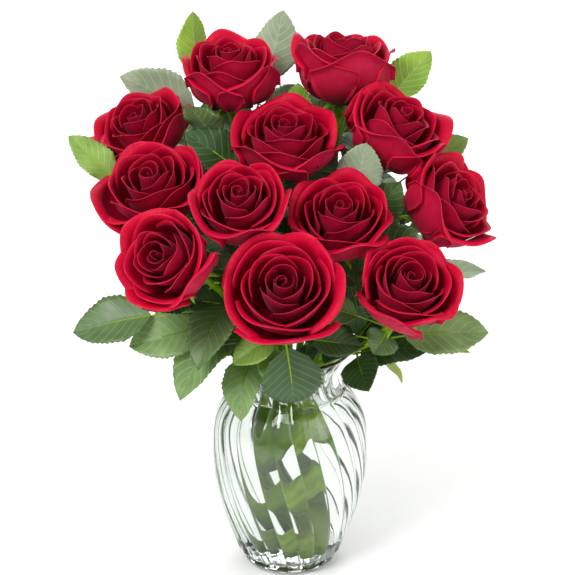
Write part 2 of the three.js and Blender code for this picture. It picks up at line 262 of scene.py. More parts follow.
class Build:
    """Gathers shells and tubes into one mesh with UVs, a tint and a material per face."""

    def __init__(self):
        self.vertices, self.uvs, self.tints = [], [], []
        self.faces, self.slots = [], []
        self.count = 0

    def add(self, vertices, uvs, faces, slots, tint=0.5):
        self.vertices.append(vertices)
        self.uvs.append(uvs)
        self.tints.append(np.full(len(vertices), tint))
        self.faces.extend([i + self.count for i in face] for face in faces)
        self.slots.extend(slots)
        self.count += len(vertices)

    def shell(self, grid, thickness, top_slot=0, under_slot=0, tint=0.5):
        """A closed thin sheet about a grid of points; its upper side is the grid's left side."""
        rows, columns = grid.shape[:2]
        along = np.gradient(grid, axis=0)
        across = np.gradient(grid, axis=1)
        normals = np.cross(across, along)
        normals /= np.linalg.norm(normals, axis=2)[..., None] + 1e-12
        upper = (grid + normals * thickness / 2).reshape(-1, 3)
        lower = (grid - normals * thickness / 2).reshape(-1, 3)
        v, u = np.meshgrid(np.linspace(0, 1, rows), np.linspace(0, 1, columns), indexing="ij")
        uv = np.stack([u.ravel(), v.ravel()], axis=1)
        below = rows * columns
        faces, slots = [], []
        for i in range(rows - 1):
            for j in range(columns - 1):
                a, b = i * columns + j, i * columns + j + 1
                c, d = b + columns, a + columns
                faces.append((a, b, c, d))
                faces.append((a + below, d + below, c + below, b + below))
                slots += [top_slot, under_slot]
        edge = [i * columns for i in range(rows)]
        edge += [(rows - 1) * columns + j for j in range(1, columns)]
        edge += [i * columns + columns - 1 for i in range(rows - 2, -1, -1)]
        edge += list(range(columns - 2, 0, -1))
        for a, b in zip(edge, edge[1:] + edge[:1]):
            faces.append((a, b, b + below, a + below))
            slots.append(top_slot)
        self.add(np.vstack([upper, lower]), np.vstack([uv, uv]), faces, slots, tint)

    def tube(self, path, radii, sides, slot=0, tint=0.5):
        """A closed tube along a path, with a radius at each of its points."""
        path = np.asarray(path)
        tangents = np.gradient(path, axis=0)
        tangents /= np.linalg.norm(tangents, axis=1)[:, None]
        normal = unit(np.cross(tangents[0], [0.31, 0.9, 0.2]))
        angles = np.linspace(0, 2 * math.pi, sides, endpoint=False)
        rings = []
        for point, tangent, radius in zip(path, tangents, radii):
            normal = unit(normal - (normal @ tangent) * tangent)
            binormal = np.cross(tangent, normal)
            ring = np.outer(np.cos(angles), normal) + np.outer(np.sin(angles), binormal)
            rings.append(point + ring * radius)
        rows = len(path)
        faces = []
        for i in range(rows - 1):
            for j in range(sides):
                k = (j + 1) % sides
                faces.append((i * sides + j, i * sides + k, (i + 1) * sides + k,
                              (i + 1) * sides + j))
        faces.append(tuple(range(sides))[::-1])
        faces.append(tuple(range((rows - 1) * sides, rows * sides)))
        v, u = np.meshgrid(np.linspace(0, 1, rows), angles / (2 * math.pi), indexing="ij")
        uv = np.stack([u.ravel(), v.ravel()], axis=1)
        self.add(np.vstack(rings), uv, faces, [slot] * len(faces), tint)

    def finish(self, name, materials, replaces):
        mesh = bpy.data.meshes.new(name)
        vertices = np.vstack(self.vertices)
        mesh.from_pydata(vertices.tolist(), [], self.faces)
        for material in materials:
            mesh.materials.append(material)
        mesh.polygons.foreach_set("material_index", self.slots)
        mesh.polygons.foreach_set("use_smooth", [True] * len(self.faces))
        loops = np.empty(len(mesh.loops), dtype=int)
        mesh.loops.foreach_get("vertex_index", loops)
        layer = mesh.uv_layers.new(name="UVMap")
        layer.data.foreach_set("uv", np.vstack(self.uvs)[loops].ravel())
        tint = mesh.attributes.new("tint", "FLOAT", "POINT")
        tint.data.foreach_set("value", np.concatenate(self.tints))
        mesh.update()
        piece = bpy.data.objects.new(name, mesh)
        bpy.context.scene.collection.objects.link(piece)
        if replaces:
            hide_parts(*replaces)
        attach(piece, "root")
        return piece


# ---- Material helpers ----

class Shader:
    """A small wrapper for building a node material."""

    def __init__(self, name):
        self.material = bpy.data.materials.new(name)
        self.material.use_nodes = True
        self.tree = self.material.node_tree
        self.surface = self.tree.nodes["Principled BSDF"]

    def node(self, kind, **settings):
        made = self.tree.nodes.new(kind)
        for key, value in settings.items():
            setattr(made, key, value)
        return made

    def link(self, source, target):
        self.tree.links.new(source, target)

    def set(self, **values):
        for key, value in values.items():
            self.surface.inputs[key.replace("_", " ")].default_value = value

    def uv(self):
        return self.node("ShaderNodeUVMap", uv_map="UVMap").outputs["UV"]

    def tint(self):
        return self.node("ShaderNodeAttribute", attribute_name="tint").outputs["Fac"]

    def position(self):
        return self.node("ShaderNodeTexCoord").outputs["Object"]

    def stretched(self, vector, scale):
        mapping = self.node("ShaderNodeMapping")
        mapping.inputs["Scale"].default_value = scale
        self.link(vector, mapping.inputs["Vector"])
        return mapping.outputs["Vector"]

    def noise(self, vector, scale, detail=3.0, roughness=0.55):
        noise = self.node("ShaderNodeTexNoise")
        noise.inputs["Scale"].default_value = scale
        noise.inputs["Detail"].default_value = detail
        noise.inputs["Roughness"].default_value = roughness
        self.link(vector, noise.inputs["Vector"])
        return noise.outputs["Fac"]

    def ramp(self, fac, stops):
        ramp = self.node("ShaderNodeValToRGB")
        elements = ramp.color_ramp.elements
        while len(elements) < len(stops):
            elements.new(0.5)
        for element, (place, colour) in zip(elements, stops):
            element.position = place
            element.color = (*colour, 1.0)
        self.link(fac, ramp.inputs["Fac"])
        return ramp.outputs["Color"]

    def mix(self, fac, a, b):
        mix = self.node("ShaderNodeMix", data_type="RGBA")
        for value, socket in ((fac, mix.inputs[0]), (a, mix.inputs[6]), (b, mix.inputs[7])):
            if isinstance(value, (int, float)):
                socket.default_value = value
            elif isinstance(value, tuple):
                socket.default_value = (*value, 1.0)
            else:
                self.link(value, socket)
        return mix.outputs[2]

    def math(self, operation, a, b=0.0):
        node = self.node("ShaderNodeMath", operation=operation)
        for value, socket in ((a, node.inputs[0]), (b, node.inputs[1])):
            if isinstance(value, (int, float)):
                socket.default_value = value
            else:
                self.link(value, socket)
        return node.outputs[0]

    def remap(self, value, low, high, to_low, to_high):
        node = self.node("ShaderNodeMapRange")
        for key, number in (("From Min", low), ("From Max", high), ("To Min", to_low),
                            ("To Max", to_high)):
            node.inputs[key].default_value = number
        self.link(value, node.inputs["Value"])
        return node.outputs["Result"]

    def bump(self, height, strength, distance):
        bump = self.node("ShaderNodeBump")
        bump.inputs["Strength"].default_value = strength
        bump.inputs["Distance"].default_value = distance
        self.link(height, bump.inputs["Height"])
        self.link(bump.outputs["Normal"], self.surface.inputs["Normal"])

    def colour(self, value):
        self.link(value, self.surface.inputs["Base Color"])

    def roughness(self, value):
        self.link(value, self.surface.inputs["Roughness"])


# ---- Materials ----

def petal_material(name, throat_shade, body, rim, painted_sheen, sheen):
    """Velvety crimson: streaked along the petal, darker towards its foot with painted shade,
    paler at its very rim with a painted highlight, and patched with painted sheen.

    The heart's petals have a low tint and are the darkest: painted shade in the bloom's middle.
    """
    shader = Shader(name)
    uv = shader.uv()
    split = shader.node("ShaderNodeSeparateXYZ")
    shader.link(uv, split.inputs[0])
    veins = shader.noise(shader.stretched(uv, (30, 2.6, 1)), 1.0, 4.0)
    clouds = shader.noise(shader.position(), 55.0, 3.0)
    # Painted shade darkens the petal towards its foot, deep in the cup; the last two stops are a
    # painted highlight along its rim.
    base = shader.ramp(split.outputs["Y"], [(0.0, throat_shade), (0.55, body), (0.96, rim),
                                            (1.0, (0.66, 0.018, 0.06))])
    streaked = shader.mix(shader.remap(veins, 0.32, 0.68, 0.0, 0.38), base, (0.27, 0.0, 0.011))
    # Painted sheen: cloudy patches of a paler, pinker red over the petal stand in for the velvet's
    # sheen.
    sheen_patched = shader.mix(shader.remap(clouds, 0.35, 0.65, 0.0, 0.35), streaked, painted_sheen)
    # Painted shade: a low tint darkens the heart's petals, deep in the bloom; its random part
    # varies the petals' tone.
    heart_shade_and_tone = shader.mix(shader.remap(shader.tint(), 0, 1, 0.62, 0.0), sheen_patched,
                        (0.17, 0.0, 0.010))
    shader.colour(heart_shade_and_tone)
    shader.roughness(shader.remap(veins, 0.3, 0.7, 0.42, 0.62))
    shader.set(Sheen_Weight=sheen, Sheen_Roughness=0.35, Specular_IOR_Level=0.13)
    shader.surface.inputs["Sheen Tint"].default_value = (1.0, 0.22, 0.45, 1.0)
    fine = shader.noise(shader.stretched(uv, (64, 7, 1)), 1.0, 3.0)
    broad = shader.noise(shader.stretched(uv, (5, 3, 1)), 1.0, 2.0)
    shader.bump(shader.math("ADD", fine, shader.math("MULTIPLY", broad, 3.0)), 0.35, 0.35 * MM)
    return shader.material


def leaf_material(name, dark, light, vein):
    """The upper side: semi-gloss, mottled, with pale side veins running out to the teeth."""
    shader = Shader(name)
    uv = shader.uv()
    split = shader.node("ShaderNodeSeparateXYZ")
    shader.link(uv, split.inputs[0])
    out = shader.math("ABSOLUTE", shader.math("SUBTRACT", split.outputs["X"], 0.5))
    slant = shader.math("SUBTRACT", split.outputs["Y"], shader.math("MULTIPLY", out, 0.5))
    wave = shader.math("SINE", shader.math("MULTIPLY", slant, 52.0))
    side_vein = shader.remap(wave, 0.82, 1.0, 0.0, 1.0)
    midrib = shader.remap(out, 0.0, 0.02, 1.0, 0.0)
    veins = shader.math("MAXIMUM", side_vein, midrib)
    mottle = shader.noise(shader.position(), 60.0, 4.0)
    body = shader.mix(shader.remap(mottle, 0.3, 0.7, 0.0, 1.0), dark, light)
    body = shader.mix(shader.remap(shader.tint(), 0, 1, 0.0, 0.4), body, light)
    shader.colour(shader.mix(shader.math("MULTIPLY", veins, 0.45), body, vein))
    shader.roughness(shader.remap(mottle, 0.3, 0.7, 0.34, 0.5))
    shader.set(Specular_IOR_Level=0.36, Coat_Weight=0.08, Coat_Roughness=0.35)
    grain = shader.noise(shader.position(), 900.0, 2.0)
    relief = shader.math("SUBTRACT", shader.math("MULTIPLY", grain, 0.35), veins)
    shader.bump(relief, 0.5, 0.25 * MM)
    return shader.material


def underside_material(name, dark, light):
    """The underside: matt and pale, with the veins standing proud."""
    shader = Shader(name)
    uv = shader.uv()
    split = shader.node("ShaderNodeSeparateXYZ")
    shader.link(uv, split.inputs[0])
    out = shader.math("ABSOLUTE", shader.math("SUBTRACT", split.outputs["X"], 0.5))
    slant = shader.math("SUBTRACT", split.outputs["Y"], shader.math("MULTIPLY", out, 0.5))
    wave = shader.math("SINE", shader.math("MULTIPLY", slant, 52.0))
    veins = shader.math("MAXIMUM", shader.remap(wave, 0.75, 1.0, 0.0, 1.0),
                        shader.remap(out, 0.0, 0.03, 1.0, 0.0))
    mottle = shader.noise(shader.position(), 45.0, 4.0)
    body = shader.mix(shader.remap(mottle, 0.3, 0.7, 0.0, 1.0), dark, light)
    shader.colour(shader.mix(shader.math("MULTIPLY", veins, 0.5), body, (0.50, 0.58, 0.36)))
    shader.roughness(shader.remap(mottle, 0.3, 0.7, 0.6, 0.78))
    shader.set(Specular_IOR_Level=0.3)
    shader.bump(veins, 0.6, 0.3 * MM)
    return shader.material


def stem_material():
    """Fresh green stem: streaked along its length, with brownish spots."""
    shader = Shader("stem_green")
    uv = shader.uv()
    streaks = shader.noise(shader.stretched(uv, (9, 26, 1)), 1.0, 4.0)
    body = shader.ramp(streaks, [
        (0.25, (0.10, 0.24, 0.001)), (0.5, (0.25, 0.43, 0.004)), (0.75, (0.42, 0.57, 0.02)),
    ])
    body = shader.mix(shader.remap(shader.tint(), 0.2, 0.8, 0.0, 0.6), body, (0.06, 0.18, 0.003))
    spots = shader.noise(shader.position(), 210.0, 2.0)
    shader.colour(shader.mix(shader.remap(spots, 0.66, 0.74, 0.0, 0.5), body,
                             (0.16, 0.08, 0.03)))
    shader.roughness(shader.remap(streaks, 0.3, 0.7, 0.38, 0.55))
    shader.set(Specular_IOR_Level=0.25)
    shader.bump(streaks, 0.3, 0.3 * MM)
    return shader.material


def glass_material():
    """Clear glass with the faint unevenness of a pressed vase."""
    shader = Shader("vase_glass")
    shader.set(Transmission_Weight=1.0, IOR=1.47, Specular_IOR_Level=0.36)
    cloud = shader.noise(shader.position(), 26.0, 2.0)
    shader.colour(shader.mix(shader.remap(cloud, 0.3, 0.7, 0.0, 1.0), (0.93, 0.965, 0.935),
                             (0.955, 0.98, 0.958)))
    shader.roughness(shader.remap(cloud, 0.3, 0.7, 0.0, 0.012))
    shader.bump(shader.noise(shader.position(), 34.0, 2.0), 0.10, 1.0 * MM)
    return shader.material


def water_material():
    """Clear water, very slightly green."""
    shader = Shader("water")
    shader.set(Transmission_Weight=1.0, IOR=1.333)
    cloud = shader.noise(shader.position(), 18.0, 2.0)
    shader.colour(shader.mix(shader.remap(cloud, 0.3, 0.7, 0.0, 1.0), (0.965, 0.985, 0.962),
                             (0.98, 0.99, 0.978)))
    shader.roughness(shader.remap(cloud, 0.3, 0.7, 0.0, 0.004))
    return shader.material


def floor_material():
    shader = Shader("floor_pale")
    fine = shader.noise(shader.position(), 30.0, 3.0)
    shader.colour(shader.mix(shader.remap(fine, 0.3, 0.7, 0.0, 1.0), (0.93, 0.93, 0.93),
                             (0.95, 0.95, 0.95)))
    shader.set(Roughness=0.8, Specular_IOR_Level=0.1)
    return shader.material


# ---- Blooms ----

def smooth(value):
    value = np.clip(value, 0, 1)
    return value * value * (3 - 2 * value)


def petal_sheet(petal):
    """A petal as a grid of points about the bloom's axis, from its foot to its rolled rim.

    The wall follows a cup whose radius grows as the sine of the root of the height. Above the
    wall the rim turns outward on an arc, tighter towards the petal's two corners, and the two
    side edges roll outward too. The whole sheet is then sized to its reach and its top.
    """
    u = np.linspace(-1, 1, PETAL_COLUMNS)[None, :]
    s = (np.linspace(0, 1, WALL_ROWS) ** 1.5)[:, None]
    shoulder = 1 - petal["droop"] * np.abs(u) ** 2.4
    peak = np.exp(-((u - petal["skew"]) / TIP_WIDTH) ** 2)
    shoulder = shoulder + petal["point"] * peak
    height = petal["top"] * shoulder * s
    bulge = np.sin(math.pi / 2 * np.sqrt(s * (0.9 + 0.1 * shoulder)))
    radius = petal["foot"] + (petal["reach"] - petal["foot"]) * bulge
    radius = radius + petal["lean"] * smooth((s - 0.3) / 0.7) ** 1.4
    corners = smooth((np.abs(u - petal["skew"]) - 0.04) / 0.62)
    curl = petal["curl"] * (petal["tip_curl"] + (1 - petal["tip_curl"]) * corners)
    step = petal["roll"] * (1 + 0.42 * peak - 0.55 * u ** 2) / ROLL_ROWS
    heading = np.arctan2(height[-1] - height[-2], radius[-1] - radius[-2])[None, :]
    k = np.arange(1, ROLL_ROWS + 1)[:, None]
    turning = heading - curl * (k / ROLL_ROWS) ** 1.2
    radius = np.vstack([radius, radius[-1:] + np.cumsum(np.cos(turning) * step, axis=0)])
    height = np.vstack([height, height[-1:] + np.cumsum(np.sin(turning) * step, axis=0)])
    v = np.linspace(0, 1, WALL_ROWS + ROLL_ROWS)[:, None]
    ripple = np.sin(u * petal["ripples"] + petal["phase"]) * v ** 2.5
    radius = radius + petal["spiral"] * u * smooth(v * 2.5) + ripple * petal["ripple"]
    height = height + np.cos(u * petal["ripples"] * 1.3 + petal["phase"]) * v ** 4 * petal["ripple"]
    radius = radius * petal["reach"] / radius[:, PETAL_COLUMNS // 2].max()
    height = height * petal["top"] / height.max()
    edge = np.clip((np.abs(u) - EDGE_FROM) / (1 - EDGE_FROM), 0, 1) * petal["edge_curl"]
    edge_radius = petal["edge_roll"] * smooth(v * 1.5 - 0.15)
    angle = petal["half_angle"] * np.clip(u / EDGE_FROM, -1, 1) * (0.74 + 0.26 * smooth(v * 1.35))
    angle = angle + np.sign(u) * edge_radius * np.sin(edge) / np.maximum(radius, 8 * MM)
    angle = angle + petal["azimuth"]
    radius = radius + edge_radius * (1 - np.cos(edge))
    return np.stack([radius * np.cos(angle), radius * np.sin(angle), height], axis=2)


def inner_petal(rank, index, bloom, rng):
    """A petal of the spiral: tight and closing at the heart, upright and open further out."""
    radius, depth = bloom["radius"], bloom["depth"]
    heart = smooth(1 - rank / 0.34)
    return {
        "reach": radius * (0.1 + 0.80 * rank ** 1.05 + rng.uniform(-0.022, 0.022)),
        "foot": radius * 0.05 * (1 + rank),
        "top": depth * (0.85 + 0.09 * math.sin(math.pi * min(rank * 1.3, 1)) - 0.04 * rank)
        * rng.uniform(0.96, 1.02),
        "lean": radius * (-0.07 * heart + 0.03 * rank),
        "curl": math.radians(8 + 84 * rank + rng.uniform(-14, 14)),
        "tip_curl": 0.5 - 0.1 * rank,
        "roll": (1.0 + 7.0 * rank ** 1.3) * MM,
        "droop": 0.18 + 0.26 * rank,
        "point": 0.015 + 0.105 * rank,
        "skew": rng.uniform(-0.34, 0.34),
        "spiral": (1.4 + 1.8 * rank) * MM,
        "edge_curl": math.radians(15 + 50 * rank),
        "edge_roll": (0.6 + 0.8 * rank) * MM,
        "ripple": (0.3 + 0.8 * rank) * MM,
        "ripples": rng.uniform(2.0, 4.8),
        "phase": rng.uniform(0, 6.3),
        "half_angle": math.radians(60 + 86 * heart + rng.uniform(-9, 9)),
        "azimuth": index * GOLDEN_ANGLE + rng.uniform(-0.24, 0.24),
    }


def guard_petal(azimuth, order, bloom, rng):
    """A broad outer petal: a bowl under the spiral whose rim and corners turn right back."""
    radius, depth = bloom["radius"], bloom["depth"]
    return {
        "reach": radius * (0.93 + 0.03 * order),
        "foot": radius * 0.12,
        "top": depth * rng.uniform(0.74, 0.88),
        "lean": radius * rng.uniform(0.0, 0.03),
        "curl": math.radians(rng.uniform(92, 128)),
        "tip_curl": 0.42,
        "roll": rng.uniform(10.5, 14.5) * MM,
        "droop": 0.42,
        "point": 0.14,
        "skew": rng.uniform(-0.35, 0.35),
        "spiral": 1.2 * MM,
        "edge_curl": math.radians(rng.uniform(50, 80)),
        "edge_roll": rng.uniform(1.3, 2.0) * MM,
        "ripple": 1.3 * MM,
        "ripples": rng.uniform(2.0, 4.0),
        "phase": rng.uniform(0, 6.3),
        "half_angle": math.radians(rng.uniform(42, 54)),
        "azimuth": azimuth,
    }


def upright_to(axis):
    """Columns of a frame whose third direction is the axis."""
    helper = np.array([0.0, 0.0, 1.0]) if abs(axis[2]) < 0.9 else np.array([0.0, 1.0, 0.0])
    first = unit(np.cross(helper, axis))
    return np.stack([first, np.cross(axis, first), axis], axis=1)


def make_bloom(rose, number, bloom, materials):
    rng = np.random.default_rng(SEED + number)
    build = Build()
    turn = upright_to(bloom["axis"])
    petals = [inner_petal(i / (SPIRAL_PETALS - 1), i, bloom, rng) for i in range(SPIRAL_PETALS)]
    petals += [guard_petal(math.radians(degrees), order, bloom, rng)
               for order, degrees in enumerate(GUARD_PETALS[rose])]
    for i, petal in enumerate(petals):
        sheet = petal_sheet(petal) @ turn.T + bloom["base"] + bloom["axis"] * PETAL_LIFT
        # The tint carries painted shade: it rises from the heart's petals outward, so the heart is
        # darkest; the random part is tone that differs from petal to petal.
        shade_and_tone = min(0.15 + 0.85 * i / (SPIRAL_PETALS - 1), 1) - rng.uniform(0, 0.3)
        build.shell(sheet, PETAL_THICKNESS, 0, 1, max(shade_and_tone, 0))
    return build.finish(f"{rose}_petals", materials, [f"{rose}_bloom"])


# ---- Stems ----

def make_stem(rose, number, bloom, line, material):
    """The stem with its swollen hip, the sepals under the bloom and a few thorns."""
    rng = np.random.default_rng(SEED * 100 + number)
    build = Build()
    along = np.concatenate([[0], np.cumsum(np.linalg.norm(np.diff(line, axis=0), axis=1))])
    length = along[-1]
    radii = STEM_RADIUS * (1.0 - 0.12 * along / length)
    for joint in rng.uniform(0.2, 0.85, 4) * length:
        radii = radii + 0.5 * MM * np.exp(-((along - joint) / (3 * MM)) ** 2)
    to_bloom = length - along
    radii = radii + HIP_RADIUS * np.exp(-((to_bloom - 4.5 * MM) / (4 * MM)) ** 2)
    build.tube(line, radii, STEM_SIDES, tint=rng.uniform(0, 1))
    for share in np.linspace(0.5, 0.9, THORNS) + rng.uniform(-0.04, 0.04, THORNS):
        add_thorn(build, line, share, rng)
    for k in range(SEPALS):
        add_sepal(build, bloom, k * 2 * math.pi / SEPALS + rng.uniform(0, 0.4), rng)
    return build.finish(f"{rose}_stalk", [material], [f"{rose}_stem"])


def add_thorn(build, line, share, rng):
    at = int(share * (len(line) - 1))
    point, grain = line[at], unit(line[at + 1] - line[at])
    outward = unit(np.cross(grain, rng.normal(size=3)))
    steps = np.linspace(0, 1, 5)[:, None]
    path = point + outward * (STEM_RADIUS * 0.7 + 4.6 * MM * steps) - grain * 1.6 * MM * steps ** 2
    build.tube(path, np.array([1.5, 1.1, 0.75, 0.4, 0.1]) * MM, 7)


def add_sepal(build, bloom, angle, rng):
    """A narrow green blade from the hip, curling out and down under the petals."""
    turn = upright_to(bloom["axis"])
    t = np.linspace(0, 1, 9)[:, None]
    u = np.linspace(-1, 1, 5)[None, :]
    reach = SEPAL_LENGTH * rng.uniform(0.85, 1.15)
    droop = rng.uniform(0.35, 0.75)
    out = 4.2 * MM + reach * (t - 0.2 * t ** 2)
    up = reach * (0.32 * t - droop * t ** 2) - 1.2 * MM
    half = 3.4 * MM * np.sin(math.pi * np.clip(t * 0.9 + 0.12, 0, 1)) ** 0.8 * (1 - 0.45 * t)
    x = out + 0 * u
    y = half * u
    z = up - np.abs(u) * half * 0.35
    local = np.stack([x * math.cos(angle) - y * math.sin(angle),
                      x * math.sin(angle) + y * math.cos(angle), z + 0 * u], axis=2)
    build.shell(local @ turn.T + bloom["base"], 0.5 * MM)


# ---- Leaves ----

def bezier(leaf, t):
    """Point and heading on the leaf's midrib."""
    a, b, c = leaf["start"], leaf["middle"], leaf["end"]
    t = np.asarray(t)[..., None]
    point = (1 - t) ** 2 * a + 2 * t * (1 - t) * b + t ** 2 * c
    tangent = 2 * (1 - t) * (b - a) + 2 * t * (c - b)
    return point, tangent / np.linalg.norm(tangent, axis=-1)[..., None]


def blade_outline(share):
    """Half-width of the blade, as a share, from its foot to its tip."""
    return np.interp(share, [0, 0.03, 0.14, 0.34, 0.55, 0.76, 0.9, 1.0],
                     [0.03, 0.22, 0.64, 0.98, 0.95, 0.68, 0.36, 0.015])


def add_leaflet(build, leaf, rng, tint, slots):
    """A stalk and a toothed, veined blade along a midrib."""
    blade_from = leaf["blade_from"]
    stalk, _ = bezier(leaf, np.linspace(0, blade_from + (1 - blade_from) * 0.55, 14))
    thin = np.linspace(1, 0.45, 14)
    build.tube(stalk, STALK_RADIUS * thin, 8, slot=2, tint=tint)
    rows = LEAF_TEETH * ROWS_PER_TOOTH
    share = np.linspace(0, 1, rows + 1)
    point, tangent = bezier(leaf, blade_from + (1 - blade_from) * share)
    side = np.cross(tangent, leaf["top"])
    side /= np.linalg.norm(side, axis=1)[:, None]
    normal = np.cross(side, tangent)
    u = np.linspace(-1, 1, LEAF_COLUMNS + 1)
    half = blade_outline(share) * leaf["width"] / 2
    tooth = (np.arange(rows + 1) % ROWS_PER_TOOTH) / ROWS_PER_TOOTH
    tooth = np.where(share > 0.97, 0, 1 - tooth)
    edge = 1 + 0.075 * tooth
    reach = np.outer(half, u)
    reach[:, 0] *= edge
    reach[:, -1] *= edge
    forward = 0.9 * MM * tooth * np.sin(math.pi * np.clip(share, 0, 1)) ** 0.5
    wave = np.sin(share * rng.uniform(9, 14) + rng.uniform(0, 6.3))[:, None]
    twist = rng.uniform(-0.1, 0.1)
    lift = np.abs(reach) * LEAF_FOLD + reach * twist * share[:, None]
    lift += wave * (np.abs(u) ** 2) * 1.3 * MM * np.sin(math.pi * share)[:, None]
    vein = np.sin(52 * (share[:, None] - 0.25 * np.abs(u)))
    lift += np.where(np.abs(u) > 0.05, 0.16 * MM * vein * (1 - np.abs(u)), -0.3 * MM)
    grid = (point[:, None] + side[:, None] * reach[..., None]
            + normal[:, None] * lift[..., None])
    for column in (0, -1):
        grid[:, column] += tangent * forward[:, None]
    build.shell(grid, LEAF_THICKNESS, slots[0], slots[1], tint)


def side_leaflet(leaf, hand):
    """The midrib of a side leaflet, as the CAD leaf has it."""
    samples, _ = bezier(leaf, np.linspace(0, 1, 60))
    length = np.linalg.norm(np.diff(samples, axis=0), axis=1).sum()
    blade_from = leaf["blade_from"]
    fork = max(blade_from / 2, blade_from - SIDE_LEAFLET_SETBACK / length)
    origin, _ = bezier(leaf, fork)
    _, tangent = bezier(leaf, blade_from)
    side = unit(np.cross(tangent, leaf["top"]))
    normal = np.cross(side, tangent)
    reach = length * (1 - blade_from) * SIDE_LEAFLET_SIZE
    heading = tangent * math.cos(SIDE_LEAFLET_ANGLE)
    heading = heading + side * hand * math.sin(SIDE_LEAFLET_ANGLE)
    return {
        "start": origin, "middle": origin + heading * reach * 0.55 + normal * reach * 0.1,
        "end": origin + heading * reach - normal * reach * 0.06, "blade_from": 0.12,
        "width": leaf["width"] * SIDE_LEAFLET_SIZE, "top": normal,
    }


def make_leaf(node, leaf, materials):
    rng = np.random.default_rng(int(node[-2:]) + SEED * 1000)
    build = Build()
    tint = rng.uniform(0, 1)
    add_leaflet(build, leaf, rng, tint, (0, 1))
    if leaf["spray"]:
        for hand in (-1, 1):
            add_leaflet(build, side_leaflet(leaf, hand), rng, tint, (0, 1))
    return build.finish(f"{node}_blade", materials, [node])


def solid_tree(nodes):
    """A search tree over the surfaces of some CAD nodes."""
    vertices, faces = [], []
    for node in nodes:
        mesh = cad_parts[node].data
        faces += [[i + len(vertices) for i in face.vertices] for face in mesh.polygons]
        vertices += [vertex.co.copy() for vertex in mesh.vertices]
    return BVHTree.FromPolygons(vertices, faces)


def leaf_points(leaf):
    """A few points over a leaf's blade and down its stalk, for keeping it clear of others."""
    point, tangent = bezier(leaf, np.linspace(0.25, 1, 9))
    side = np.cross(tangent, leaf["top"])
    share = (np.linspace(0.25, 1, 9) - leaf["blade_from"]) / (1 - leaf["blade_from"])
    half = np.where(share > 0, blade_outline(np.clip(share, 0, 1)), 0)[:, None] * leaf["width"] / 2
    return np.vstack([point, point + side * half, point - side * half,
                      point + side * half / 2, point - side * half / 2])


def inside_a_bloom(points, blooms):
    """Whether any of the points lies within a bloom's cup."""
    for bloom in blooms.values():
        along = (points - bloom["base"]) @ bloom["axis"]
        across = np.linalg.norm(points - bloom["base"] - along[:, None] * bloom["axis"], axis=1)
        near = (along > -3 * MM) & (along < bloom["depth"] + BLOOM_CLEARANCE)
        if (near & (across < bloom["radius"] * 1.04)).any():
            return True
    return False


def random_leaf(rng, lines):
    """A leaf from somewhere on a stem under the blooms, reaching outward and a little up."""
    rose = ROSES[rng.integers(len(ROSES))]
    line = lines[rose]
    start = line[int(len(line) * rng.uniform(0.3, 0.97) ** 0.45)]
    azimuth = rng.uniform(0, 2 * math.pi)
    elevation = math.radians(rng.uniform(-15, 62))
    reach = rng.uniform(40, 92) * MM
    heading = np.array([math.cos(azimuth) * math.cos(elevation),
                        math.sin(azimuth) * math.cos(elevation), math.sin(elevation)])
    end = start + heading * reach
    facing = np.array([rng.uniform(-0.5, 0.5), rng.uniform(-1.0, 0.1), 0.8])
    top = unit(facing - (facing @ heading) * heading)
    blade = rng.uniform(34, 60) * MM
    return {"start": start, "middle": (start + end) / 2 + top * reach * rng.uniform(0.08, 0.2),
            "end": end, "blade_from": max(0.12, 1 - blade / reach),
            "width": blade * rng.uniform(0.6, 0.7), "top": top, "spray": False}


def fill_foliage(materials, blooms, lines):
    """Leaves that close the gaps between the stems, each clear of every other solid."""
    rng = np.random.default_rng(SEED + 501)
    tree = solid_tree([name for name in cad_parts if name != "water"])
    low, high = np.array(CAD_BOX[0]), np.array(CAD_BOX[1])
    taken = np.zeros((1, 3))
    placed = 0
    for _ in range(FILL_TRIES):
        leaf = random_leaf(rng, lines)
        points = leaf_points(leaf)
        if (points < low).any() or (points > high).any() or points[:, 2].min() < FILL_LOWEST:
            continue
        if np.abs(points[:, 0]).max() > FILL_REACH or points[:, 1].min() < FILL_FRONT:
            continue
        if inside_a_bloom(points, blooms):
            continue
        if any(tree.find_nearest(Vector(p), FILL_CLEARANCE)[0] for p in points[9:]):
            continue
        gaps = np.linalg.norm(points[9:, None] - taken[None], axis=2)
        if gaps.min() < FILL_SPACING:
            continue
        taken = np.vstack([taken, points])
        placed += 1
        build = Build()
        add_leaflet(build, leaf, rng, rng.uniform(0, 1), (0, 1))
        build.finish(f"foliage_{placed:02d}", materials[placed % len(materials)], [])
        if placed == FILL_LEAVES:
            break


# ---- Vase and water ----

def vase_outline():
    """Heights and radii of the CAD vase's outside, and the radii and floor of its hollow."""
    rings = {}
    for x, y, z in points_of("vase"):
        rings.setdefault(round(z, 5), []).append(math.hypot(x, y))
    heights = np.array(sorted(rings))
    outside = np.array([max(rings[height]) for height in heights])
    hollow = [(height, min(rings[height])) for height in heights
              if max(rings[height]) - min(rings[height]) > 2 * MM and min(rings[height]) > MM]
    floor = min(height for height in heights if height > 5 * MM and min(rings[height]) < MM)
    inner_heights, inner_radii = np.array(hollow).T
    wall = np.median(np.interp(inner_heights, heights, outside) - inner_radii)
    lip = heights[:-1]
    return lip, outside[:-1], wall, floor


def smooth_profile(heights, radii, count):
    """Evenly spaced [radius, height] points along a smooth curve through the outline."""
    points = np.stack([radii, np.zeros(len(radii)), heights], axis=1)
    path = smooth_path(points, count)
    return path[:, 0], path[:, 2]


